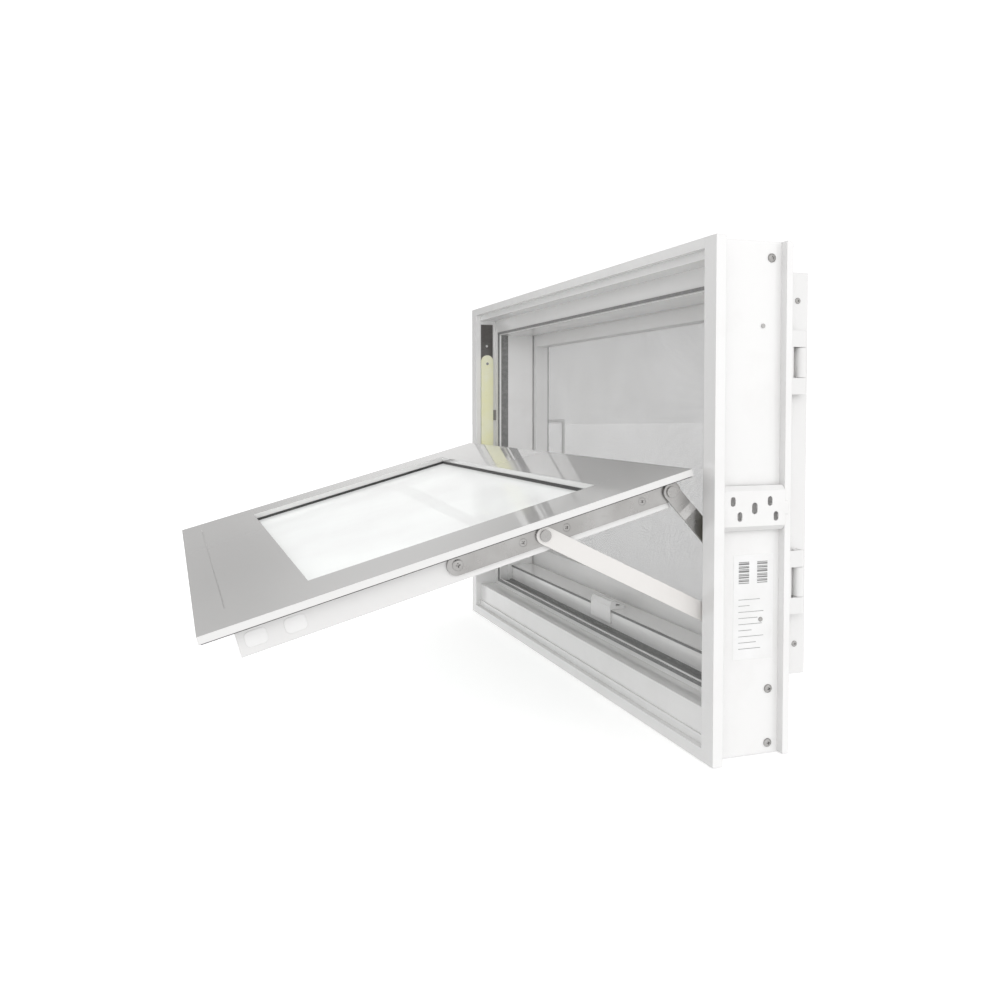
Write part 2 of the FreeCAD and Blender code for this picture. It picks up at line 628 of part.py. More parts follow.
def stayArms():
    for side, sign in sides:
        longLevels = (armInside + s.joggle, armInside)
        crankedArm(side, sign, "long_arm", s.long_arm_length, longLevels, (s.first_bend, s.second_bend),
                   1, s.long_arm_swing, s.pivot_depth, framePivotHeight)
        shortLevels = (armInside, armInside + s.short_joggle)
        shortBends = (s.short_arm_length * s.short_first_part, s.short_arm_length * s.short_second_part)
        crankedArm(side, sign, "short_arm", s.short_arm_length, shortLevels, shortBends,
                   -1, shortTurn, upperPivotDepth, upperPivotHeight)

        shoe = newBody(f"shoe_{side}")
        half = s.shoe_width / 2
        shoeStart = span(sign, shoeInside, shoeOutside)[0]
        addPad(shoe, "YZ_Plane", [[
            (-half, s.shoe_up), (-half, -s.shoe_taper), (half / -2, -s.shoe_down),
            (half / 2, -s.shoe_down), (half, -s.shoe_taper), (half, s.shoe_up),
        ]], s.shoe_thick)
        putOnFrame(shoe, shoeStart, s.guide_centre, shoeHeight)

        # rivet from the shoe through the end of the short arm
        armLevel = armInside + s.short_joggle
        inner = armLevel - s.layer_gap / 2
        shank = rod("x", span(sign, inner - s.pin_head_height, shoeInside)[0], s.guide_centre, shoeHeight,
                    s.pin_radius, shoeInside - inner + s.pin_head_height)
        cap = rod("x", span(sign, inner - s.pin_head_height, inner)[0], s.guide_centre, shoeHeight,
                  s.pin_head_radius, s.pin_head_height)
        putOnFrame(joined(f"shoe_pivot_{side}", [shank, cap]))


def latchKeeper():
    keeper = newBody("latch_keeper")
    plateTop = s.sill_top + s.keeper_plate
    lipTop = plateTop + s.keeper_lip_height
    face = s.sill_riser - s.keeper_front
    addPad(keeper, "YZ_Plane", [[
        (face, s.keeper_foot), (s.sill_riser, s.keeper_foot), (s.sill_riser, s.sill_top),
        (s.keeper_back, s.sill_top), (s.keeper_back, plateTop), (s.keeper_lip_back, plateTop),
        (s.keeper_lip_back, lipTop), (s.sill_riser, lipTop), (face, plateTop),
    ]], s.keeper_width, centred=True)
    putOnFrame(keeper, s.handle_offset)
    screwLine = (s.keeper_back + s.keeper_lip_back) / 2
    putOnFrame(joined("keeper_screws", [
        rod("z", s.handle_offset + s.keeper_screw_spread * sign, screwLine, plateTop,
            s.small_screw_radius, s.small_screw_height) for side, sign in sides]))


def sashMembers():
    lipInside = halfSash - s.stile_face
    rebate = lipInside + s.lip_width
    for side, sign in sides:
        stile = newBody(f"sash_stile_{side}")
        flange = rectangle(lipInside, zero, halfSash, s.flange_thick)
        tube = rectangle(rebate, s.flange_thick, boxSide, s.sash_depth)
        chamber = rectangle(rebate + s.wall_thick, s.flange_thick + s.wall_thick,
                            boxSide - s.wall_thick, s.sash_depth - s.wall_thick)
        flange, tube, chamber = [[(x * sign, y) for x, y in loop] for loop in (flange, tube, chamber)]
        addPad(stile, "XY_Plane", [flange], sashHeight)
        addPad(stile, "XY_Plane", [tube, chamber], sashHeight - s.top_box_start - s.bottom_box_start,
               start=s.bottom_box_start)
        putOnSash(stile, z=-sashHeight)

    rails = (
        ("sash_top_rail", -1, s.top_face, s.top_box_start, zero),
        ("sash_bottom_rail", 1, s.bottom_face, s.bottom_box_start, -sashHeight),
    )
    for label, inward, face, boxStart, edge in rails:
        rail = newBody(label)
        slab = rectangle(zero, zero, s.flange_thick, face * inward)
        if label == "sash_bottom_rail":
            # a fine groove runs along the face, level with the bottom of the rail's box
            grooveEnd = s.face_groove_start + s.face_groove_width
            slab += [(zero, grooveEnd), (s.face_groove_deep, grooveEnd),
                     (s.face_groove_deep, s.face_groove_start), (zero, s.face_groove_start)]
        addPad(rail, "YZ_Plane", [slab], lipInside * 2, centred=True)
        rebateLine = (face - s.lip_width) * inward
        addPad(rail, "YZ_Plane", [
            rectangle(s.flange_thick, boxStart * inward, s.sash_depth, rebateLine),
            rectangle(s.flange_thick + s.wall_thick, (boxStart + s.wall_thick) * inward,
                      s.sash_depth - s.wall_thick, rebateLine - s.wall_thick * inward),
        ], rebate * 2, centred=True)
        putOnSash(rail, z=edge)
    return lipInside, rebate


def sashGlazing(lipInside, rebate):
    topRebate = s.lip_width - s.top_face
    bottomRebate = s.bottom_face - s.lip_width - sashHeight
    glassFront = s.flange_thick + s.outer_seal
    glassBack = glassFront + s.glass_thick
    glassHalf = rebate - s.glass_gap
    glass = newBody("glass_pane")
    addPad(glass, "XZ_Plane", [
        rectangle(-glassHalf, bottomRebate + s.glass_gap, glassHalf, topRebate - s.glass_gap),
    ], s.glass_thick)
    putOnSash(glass, y=glassFront)
    seals = (
        ("glazing_seal_outer", s.flange_thick, s.outer_seal_proud, s.outer_seal),
        ("glazing_seal_inner", glassBack, s.inner_seal_proud, s.glazing_seal),
    )
    for label, start, proud, thick in seals:
        seal = newBody(label)
        addPad(seal, "XZ_Plane", ring(rebate, bottomRebate, topRebate, s.lip_width + proud), thick)
        putOnSash(seal, y=start)
    beadFront = glassBack + s.glazing_seal
    inside = rebate - s.bead_width
    putOnSash(joined("glazing_bead_stiles", [
        box(*pair(span(sign, inside, rebate), (beadFront, s.sash_depth), (bottomRebate, topRebate)))
        for side, sign in sides]))
    putOnSash(joined("glazing_bead_rails", [
        box(-inside, beadFront, bottomRebate, inside, s.sash_depth, bottomRebate + s.bead_width),
        box(-inside, beadFront, topRebate - s.bead_width, inside, s.sash_depth, topRebate),
    ]))
    gasket = newBody("sash_gasket")
    addPad(gasket, "XZ_Plane", ring(halfSash - s.gasket_inset, s.gasket_inset - sashHeight,
                                    -s.gasket_inset, s.gasket_width), s.gasket_thick)
    putOnSash(gasket, y=s.flange_thick)


def pair(across, deep, up):
    """Turns three ranges into the two corners of a block."""
    return across[0], deep[0], up[0], across[1], deep[1], up[1]


def sashBars():
    screws, pivots = [], []
    barEnd = s.bar_start_drop + s.bar_length
    for side, sign in sides:
        blank = joined(f"bar_blank_{side}", strap(boxSide, s.bar_thick, sign, s.pivot_depth, s.bar_width,
                                                  -barEnd, -s.bar_start_drop))
        start = span(sign, boxSide - past, barOutside + past)[0]
        through = s.bar_thick + past * 2
        bores = []
        screwStart = span(sign, boxSide, barOutside + s.bar_screw_proud)[0]
        for drop in (barEnd - s.bar_screw_end, s.lower_pivot_drop + s.bar_screw_below,
                     s.lower_pivot_drop - s.bar_screw_above, s.upper_pivot_drop + s.bar_screw_top):
            screws.append(rod("x", screwStart, s.pivot_depth, -drop, s.bar_screw_radius - s.running_fit,
                              s.bar_thick + s.bar_screw_proud))
            bores.append(rod("x", start, s.pivot_depth, -drop, s.bar_screw_radius, through))
        for drop in (s.lower_pivot_drop, s.upper_pivot_drop):
            bores.append(rod("x", start, s.pivot_depth, -drop, boreRadius, through))
            headInside = armOutside + s.layer_gap / 2
            shankEnd = headInside + s.pin_head_height
            pivots.append(rod("x", span(sign, boxSide, shankEnd)[0], s.pivot_depth, -drop, s.pin_radius,
                              shankEnd - boxSide))
            pivots.append(rod("x", span(sign, headInside, shankEnd)[0], s.pivot_depth, -drop,
                              s.pin_head_radius, s.pin_head_height))
        putOnSash(cut(f"sash_bar_{side}", blank, bores))
    putOnSash(joined("sash_bar_screws", screws))
    putOnSash(joined("sash_pivots", pivots))


def handle():
    height = s.spindle_height - sashTopClosed
    baseBack = s.sash_depth + s.base_thick
    housingEnd = baseBack + s.housing_length
    base = joined("handle_blank", [
        box(s.handle_offset - s.base_width / 2, s.sash_depth, height - s.base_height / 2,
            s.handle_offset + s.base_width / 2, baseBack, height + s.base_height / 2),
        rod("y", s.handle_offset, baseBack, height, s.housing_radius, s.housing_length),
    ])
    bore = rod("y", s.handle_offset, baseBack, height, boreRadius, s.housing_length + past)
    putOnSash(cut("handle_base", base, [bore]))
    putOnSash(joined("handle_screws", [
        rod("y", s.handle_offset + s.base_screw_spread * sign, baseBack, height,
            s.small_screw_radius, s.small_screw_height) for side, sign in sides]))
    tongueEnd = s.tongue_start + s.tongue_thick
    leverEnd = tongueEnd + s.lever_thick
    spindle = newBody("handle_spindle")
    addPad(spindle, "XZ_Plane", [], s.tongue_start - baseBack - s.wall_thick,
           circles=[(zero, zero, s.pin_radius)])
    putOnSash(spindle, s.handle_offset, baseBack + s.wall_thick, height)
    halfTongue = s.tongue_height / 2
    collar = housingEnd + s.layer_gap
    putOnSash(joined("lock_tongue", [
        box(s.handle_offset, s.tongue_start, height - halfTongue,
            s.handle_offset + s.tongue_reach - halfTongue, tongueEnd, height + halfTongue),
        rod("y", s.handle_offset + s.tongue_reach - halfTongue, s.tongue_start, height, halfTongue,
            s.tongue_thick),
        rod("y", s.handle_offset, s.tongue_start, height, s.hub_radius, s.tongue_thick),
        cut("tongue_collar",
            rod("y", s.handle_offset, collar, height, s.hub_radius, s.tongue_start - collar),
            [rod("y", s.handle_offset, collar, height, s.pin_radius, s.tongue_start - collar)]),
    ]))
    halfLever = s.lever_height / 2
    putOnSash(joined("handle_lever", [
        rod("y", s.handle_offset, tongueEnd, height, s.hub_radius + s.hub_flare, s.lever_thick),
        box(s.handle_offset - s.lever_length + halfLever, tongueEnd, height - halfLever,
            s.handle_offset, leverEnd, height + halfLever),
        rod("y", s.handle_offset - s.lever_length + halfLever, tongueEnd, height, halfLever, s.lever_thick),
    ]))


def insectScreen():
    side = halfWidth - s.screen_side
    inside = side - s.screen_rail
    screenTop = s.frame_height - s.screen_top_drop
    screenFront = rearFace + s.screen_gap
    screenBack = screenFront + s.screen_depth
    rebateBack = screenBack - s.rebate_deep
    height = screenTop - s.screen_bottom
    solid = s.screen_rail - s.screen_rebate
    profile = [(0, 0), (s.screen_rail, 0), (s.screen_rail, s.screen_depth - s.rebate_deep),
               (solid, s.screen_depth - s.rebate_deep), (solid, s.screen_depth), (0, s.screen_depth)]
    chamber = rectangle(s.wall_thick, s.wall_thick, solid - s.wall_thick, s.screen_depth - s.wall_thick)
    for name, sign in sides:
        stile = newBody(f"screen_stile_{name}")
        loops = [[(across * -sign, deep) for across, deep in loop] for loop in (profile, chamber)]
        addPad(stile, "XY_Plane", loops, height)
        putOnFrame(stile, side * sign, screenFront, s.screen_bottom)
    for name, sign, edge in (("top", -1, screenTop), ("bottom", 1, s.screen_bottom)):
        rail = newBody(f"screen_{name}_rail")
        loops = [[(deep, across * sign) for across, deep in loop] for loop in (profile, chamber)]
        addPad(rail, "YZ_Plane", loops, inside * 2, centred=True)
        putOnFrame(rail, zero, screenFront, edge)

    meshSide = inside + s.screen_rebate - s.mesh_clear
    meshLow = s.screen_bottom + solid + s.mesh_clear
    meshHigh = screenTop - solid - s.mesh_clear
    meshBack = rebateBack + s.mesh_thick
    mesh = newBody("screen_mesh")
    addPad(mesh, "XZ_Plane", [rectangle(-meshSide, meshLow, meshSide, meshHigh)], s.mesh_thick)
    putOnFrame(mesh, y=rebateBack)
    spline = newBody("screen_spline")
    addPad(spline, "XZ_Plane", ring(meshSide - s.mesh_clear, meshLow + s.mesh_clear, meshHigh - s.mesh_clear,
                                    s.spline_width), s.spline_height)
    putOnFrame(spline, y=meshBack)

    putOnFrame(joined("screen_screws", [
        rod("x", side, s.hinge_centre_depth, at, s.small_screw_radius, s.small_screw_height)
        for at in (s.frame_height - s.screen_screw_drop, s.screen_screw_low)]))

    grip = -side + s.screen_rail / 2
    pullTop = s.frame_height - s.pull_top_drop
    reach = screenBack + s.pull_reach
    low = pullTop - s.pull_length
    putOnFrame(joined("screen_pull", [
        rod("y", grip, screenBack, pullTop, s.pull_radius, s.pull_reach),
        rod("y", grip, screenBack, low, s.pull_radius, s.pull_reach),
        rod("z", grip, reach, low, s.pull_radius, s.pull_length),
        ball(grip, reach, pullTop, s.pull_radius), ball(grip, reach, low, s.pull_radius),
    ]))
    screenHinges(side)


def screenHinges(side):
    axis = halfWidth - s.hinge_line
    pinFit = s.hinge_pin_radius + s.running_fit
    fixedPieces, movingPieces, pins, fixedBores, movingBores = [], [], [], [], []
    for middle in (s.frame_height - s.hinge_upper_drop, s.hinge_lower):
        low = middle - s.hinge_length / 2
        high = middle + s.hinge_length / 2
        centreLow = middle - s.middle_knuckle / 2
        centreHigh = middle + s.middle_knuckle / 2
        leafRight = axis + s.knuckle_radius
        fixedPieces.append(box(leafRight - s.leaf_width, rearFace, low,
                               leafRight, rearFace + s.leaf_thick, high))
        outer = ((low, centreLow - s.knuckle_gap), (centreHigh + s.knuckle_gap, high))
        for bottom, top in outer:
            tall = top - bottom
            fixedPieces.append(box(leafRight - s.leaf_thick, rearFace, bottom,
                                   leafRight, s.hinge_centre_depth, top))
            fixedPieces.append(rod("z", axis, s.hinge_centre_depth, bottom, s.knuckle_radius, tall))
            fixedBores.append(rod("z", axis, s.hinge_centre_depth, bottom, s.hinge_pin_radius, tall))
        half = s.moving_leaf_width / 2
        movingPieces.append(box(side, s.hinge_centre_depth - half, centreLow, side + s.leaf_thick,
                                s.hinge_centre_depth + half, centreHigh))
        movingPieces.append(rod("z", axis, s.hinge_centre_depth, centreLow, s.knuckle_radius,
                                s.middle_knuckle))
        movingBores.append(rod("z", axis, s.hinge_centre_depth, centreLow, pinFit, s.middle_knuckle))
        pins.append(rod("z", axis, s.hinge_centre_depth, low, s.hinge_pin_radius, s.hinge_length))
    putOnFrame(cut("hinge_fixed_leaves", joined("fixed_blank", fixedPieces), fixedBores))
    putOnFrame(cut("hinge_moving_leaves", joined("moving_blank", movingPieces), movingBores))
    putOnFrame(joined("hinge_pins", pins))


frameMembers()
frameSeals()
jambFixings()
anchorClips()
stayTracks()
stayArms()
latchKeeper()
lipLine, rebateLine = sashMembers()
sashGlazing(lipLine, rebateLine)
sashBars()
handle()
insectScreen()
doc.recompute()

faults = []
for thing in doc.Objects:
    if "Invalid" in thing.State or "Error" in thing.State:
        faults.append(f"{thing.Label}: {thing.State}")
for thing in finished:
    if thing.Shape.isNull() or not thing.Shape.isValid() or thing.Shape.Volume <= 0:
        faults.append(f"{thing.Label}: bad shape")
if faults:
    raise RuntimeError("; ".join(faults))

os.makedirs("parts", exist_ok=True)
for thing in finished:
    thing.Shape.exportStep(f"parts/{thing.Label}.step")
    bounds = thing.Shape.BoundBox
    print(f"{thing.Label:22s} solids {len(thing.Shape.Solids)}  volume {thing.Shape.Volume:10.0f}  "
          f"x {bounds.XMin:7.1f} {bounds.XMax:7.1f}  y {bounds.YMin:7.1f} {bounds.YMax:7.1f}  "
          f"z {bounds.ZMin:6.1f} {bounds.ZMax:6.1f}")
print(f"{len(finished)} pieces written")
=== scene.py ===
import json
import math
import bmesh
import bpy
from mathutils import Matrix, Vector


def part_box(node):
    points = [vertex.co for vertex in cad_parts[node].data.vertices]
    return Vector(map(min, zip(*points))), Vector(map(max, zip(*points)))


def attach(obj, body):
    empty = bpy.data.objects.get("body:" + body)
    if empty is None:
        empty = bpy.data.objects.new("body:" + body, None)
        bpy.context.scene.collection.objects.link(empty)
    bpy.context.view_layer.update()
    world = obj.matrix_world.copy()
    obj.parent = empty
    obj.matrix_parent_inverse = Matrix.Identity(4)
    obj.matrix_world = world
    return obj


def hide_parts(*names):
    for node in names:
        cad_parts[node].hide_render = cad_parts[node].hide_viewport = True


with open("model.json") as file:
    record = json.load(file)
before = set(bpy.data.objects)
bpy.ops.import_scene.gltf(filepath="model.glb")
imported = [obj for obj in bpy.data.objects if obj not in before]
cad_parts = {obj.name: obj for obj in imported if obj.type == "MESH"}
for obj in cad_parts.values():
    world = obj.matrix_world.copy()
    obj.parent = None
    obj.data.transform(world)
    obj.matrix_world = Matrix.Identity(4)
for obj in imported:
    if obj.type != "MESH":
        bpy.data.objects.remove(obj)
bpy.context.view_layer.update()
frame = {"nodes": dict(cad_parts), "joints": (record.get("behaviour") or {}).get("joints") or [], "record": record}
nodes = frame["nodes"]
record = frame["record"]
print("frame loaded:", len(nodes), "nodes")


class Wire:
    # a socket that can be used in sums; every operation adds one Math node
    def __init__(self, tree, socket):
        self.tree = tree
        self.socket = socket

    def join(self, operation, first, second=None):
        node = self.tree.nodes.new("ShaderNodeMath")
        node.operation = operation
        for index, value in enumerate((first, second)):
            if isinstance(value, Wire):
                self.tree.links.new(value.socket, node.inputs[index])
            elif value is not None:
                node.inputs[index].default_value = value
        return Wire(self.tree, node.outputs[0])

    def __add__(self, other): return self.join("ADD", self, other)
    def __radd__(self, other): return self.join("ADD", other, self)
    def __sub__(self, other): return self.join("SUBTRACT", self, other)
    def __rsub__(self, other): return self.join("SUBTRACT", other, self)
    def __mul__(self, other): return self.join("MULTIPLY", self, other)
    def __rmul__(self, other): return self.join("MULTIPLY", other, self)
    def __lt__(self, other): return self.join("LESS_THAN", self, other)
    def fraction(self): return self.join("FRACT", self)
    def distance(self, other): return self.join("ABSOLUTE", self - other)
    def either(self, other): return self.join("MAXIMUM", self, other)


class Nodes:
    # builds nodes in one tree
    def __init__(self, tree, output):
        self.tree = tree
        self.tree.nodes.clear()
        self.output = self.tree.nodes.new(output)

    def add(self, kind, settings=None, inputs=None, output=0):
        node = self.tree.nodes.new(kind)
        for name, value in (settings or {}).items():
            setattr(node, name, value)
        for name, value in (inputs or {}).items():
            if isinstance(value, Wire):
                self.tree.links.new(value.socket, node.inputs[name])
            else:
                node.inputs[name].default_value = value
        return Wire(self.tree, node.outputs[output])

    def split(self, vector):
        node = self.tree.nodes.new("ShaderNodeSeparateXYZ")
        self.tree.links.new(vector.socket, node.inputs[0])
        return [Wire(self.tree, socket) for socket in node.outputs]

    def ramp(self, wire, low, high, to=(0.0, 1.0)):
        return self.add("ShaderNodeMapRange", None, {
            "Value": wire, "From Min": low, "From Max": high, "To Min": to[0], "To Max": to[1]})

    def blend(self, factor, first, second):
        # sockets 6 and 7 of the Mix node are its two colours, output 2 its result
        return self.add("ShaderNodeMix", {"data_type": "RGBA"}, {0: factor, 6: first, 7: second}, output=2)


class Finish(Nodes):
    # one material and the nodes in it
    def __init__(self, name):
        self.material = bpy.data.materials.new(name)
        self.material.use_nodes = True
        super().__init__(self.material.node_tree, "ShaderNodeOutputMaterial")
        self.place = self.add("ShaderNodeTexCoord", output="Object")

    def noise(self, scale, detail=3.0, rough=0.5, along=(1, 1, 1)):
        stretched = self.add("ShaderNodeVectorMath", {"operation": "MULTIPLY"}, {0: self.place, 1: along})
        return self.add("ShaderNodeTexNoise", None, {
            "Vector": stretched, "Scale": scale, "Detail": detail, "Roughness": rough})

    def patches(self, look):
        # soft patches: noise with its contrast raised between two levels
        settings = {key: look[key] for key in ("scale", "detail", "rough", "along") if key in look}
        return self.ramp(self.noise(**settings), look["low"], look["high"])

    def bump(self, height, strength, distance, edge=0.0):
        # fine relief; an edge radius also rounds sharp corners in the shading
        inputs = {"Height": height, "Strength": strength, "Distance": distance}
        if edge:
            inputs["Normal"] = self.add("ShaderNodeBevel", {"samples": 4}, {"Radius": edge})
        return self.add("ShaderNodeBump", None, inputs)

    def shader(self, inputs):
        surface = self.add("ShaderNodeBsdfPrincipled", None, inputs)
        self.tree.links.new(surface.socket, self.output.inputs["Surface"])
        return self.material


def grey(level, warmth=0.0, alpha=1.0):
    return (level + warmth, level, level - warmth, alpha)


paintMarks = {
    "dust": {"detail": 5.0, "rough": 0.62, "low": 0.48, "high": 0.74}, "dustRough": 0.07,
    "smear": {"scale": 9.0, "detail": 2.0, "rough": 0.4, "along": (0.6, 3.0, 1.0), "low": 0.35, "high": 0.7},
    "smearRough": 0.05, "coatRough": 0.05, "peelDetail": 2.0, "peelHeight": 0.0004,
}


def paintFinish(name, look):
    # powder coat: faint orange peel, dust that settles unevenly, softly rounded edges
    coat = Finish(name)
    dust = coat.patches(dict(paintMarks["dust"], scale=look["dustScale"]))
    smear = coat.patches(paintMarks["smear"])
    peel = coat.noise(look["peel"], paintMarks["peelDetail"])
    return coat.shader({
        "Base Color": coat.blend(dust * look["dust"], look["colour"], look["dusty"]),
        "Roughness": look["rough"] + smear * paintMarks["smearRough"] + dust * paintMarks["dustRough"],
        "Coat Weight": look["coat"],
        "Coat Roughness": paintMarks["coatRough"],
        "Normal": coat.bump(peel, look["peelDepth"], paintMarks["peelHeight"], look["edge"]),
    })


metalMarks = {
    "lineDetail": 4.0, "lineRough": 0.6, "lineHeight": 0.0003,
    "cloud": {"scale": 26.0, "low": 0.36, "high": 0.68},
    "marks": {"scale": 70.0, "detail": 4.0, "rough": 0.7, "along": (0.5, 1.0, 2.6), "low": 0.6, "high": 0.72},
    "markTint": 0.35, "markRough": 0.1,
}


def metalFinish(name, look):
    # rolled or plated metal: fine lines along one direction, a few marks and a tint that wanders
    metal = Finish(name)
    lines = metal.noise(look["grain"], metalMarks["lineDetail"], metalMarks["lineRough"], look["along"])
    cloud = metal.patches(metalMarks["cloud"])
    marks = metal.patches(metalMarks["marks"])
    colour = metal.blend(cloud, look["colour"], look["second"])
    return metal.shader({
        "Base Color": metal.blend(marks * metalMarks["markTint"], colour, look["worn"]),
        "Metallic": look["metallic"],
        "Roughness": look["rough"] + lines * look["spread"] + marks * metalMarks["markRough"],
        "Normal": metal.bump(lines, look["depth"], metalMarks["lineHeight"], look["edge"]),
    })


rubberMarks = {
    "bloom": {"scale": 120.0, "detail": 4.0, "rough": 0.7, "low": 0.42, "high": 0.72}, "bloomRough": 0.2,
    "grain": 900.0, "grainDetail": 2.0, "grainDepth": 0.25, "grainHeight": 0.0002,
}


def rubberFinish(name, look):
    # soft black or grey rubber with a paler bloom
    rubber = Finish(name)
    bloom = rubber.patches(rubberMarks["bloom"])
    grain = rubber.noise(rubberMarks["grain"], rubberMarks["grainDetail"])
    return rubber.shader({
        "Base Color": rubber.blend(bloom, look["colour"], look["bloom"]),
        "Roughness": look["rough"] + bloom * rubberMarks["bloomRough"],
        "Normal": rubber.bump(grain, rubberMarks["grainDepth"], rubberMarks["grainHeight"]),
    })


glassMarks = {
    "film": {"scale": 7.0, "detail": 5.0, "rough": 0.6, "low": 0.4, "high": 0.75},
    "bend": 1.2, "filmRough": 0.2, "filmShine": 0.12, "filmCover": 0.04,
    "facingBlend": 0.35, "facingFrom": 0.25, "facingTo": 0.7,
}


def glassFinish(name, look):
    # clear glass under a thin film of dust; a painted white sheen covers it more at a glancing view in place of
    # reflection, and the dusty layer glows with painted light
    pane = Finish(name)
    film = pane.patches(glassMarks["film"])
    clear = pane.add("ShaderNodeBsdfPrincipled", None, {
        "Base Color": look["tint"], "Transmission Weight": 1.0, "Roughness": 0.0, "IOR": glassMarks["bend"]})
    # the dusty layer carries the real dust film tone together with the painted sheen and the painted glow
    dusty = pane.add("ShaderNodeBsdfPrincipled", None, {
        "Base Color": pane.blend(film, look["paintedSheenBase"], look["film"]),
        "Roughness": glassMarks["filmRough"],
        "Specular IOR Level": glassMarks["filmShine"],
        # painted light: this emission makes the dusty layer glow though the glass is no lamp
        "Emission Color": pane.blend(film, look["glow"], look["paintedGlowFilm"]),
        "Emission Strength": 1.0})
    # painted sheen: the dusty layer covers the glass more towards a glancing view, standing in for reflection; a
    # little dust film is added on top
    facing = pane.add("ShaderNodeLayerWeight", None, {"Blend": glassMarks["facingBlend"]}, output="Facing")
    paintedSheenAmount = pane.ramp(facing, glassMarks["facingFrom"], glassMarks["facingTo"], look["paintedSheenCover"])
    paintedSheenCover = paintedSheenAmount + film * glassMarks["filmCover"]
    mixed = pane.add("ShaderNodeMixShader", None, {0: paintedSheenCover, 1: clear, 2: dusty})
    pane.tree.links.new(mixed.socket, pane.output.inputs["Surface"])
    return pane.material


meshMarks = {
    "cloud": {"scale": 14.0, "low": 0.3, "high": 0.7}, "cloudRough": 0.15, "metallic": 0.3, "rough": 0.45,
}


def meshFinish(name, look):
    # woven wire: two sets of threads, open between them
    wire = Finish(name)
    threads = []
    for position in wire.split(wire.place)[::2]:  # across, then up
        offset = (position * (1 / look["pitch"])).fraction().distance(0.5)
        threads.append(offset < look["thread"] / look["pitch"] / 2)
    cloud = wire.patches(meshMarks["cloud"])
    return wire.shader({
        "Base Color": wire.blend(cloud, look["colour"], look["second"]),
        "Metallic": meshMarks["metallic"],
        "Roughness": meshMarks["rough"] + cloud * meshMarks["cloudRough"],
        "Alpha": threads[0].either(threads[1]),
    })


paperMarks = {
    "fibre": {"scale": 480.0, "detail": 4.0, "rough": 0.7}, "fibreRough": 0.2, "fibreDepth": 0.15,
    "fibreHeight": 0.0002, "tone": {"scale": 30.0, "low": 0.3, "high": 0.7}, "rough": 0.42,
}


def paperFinish(name, look):
    paper = Finish(name)
    fibre = paper.noise(**paperMarks["fibre"])
    tone = paper.patches(paperMarks["tone"])
    return paper.shader({
        "Base Color": paper.blend(tone, look["colour"], look["second"]),
        "Roughness": paperMarks["rough"] + fibre * paperMarks["fibreRough"],
        "Normal": paper.bump(fibre, paperMarks["fibreDepth"], paperMarks["fibreHeight"]),
    })


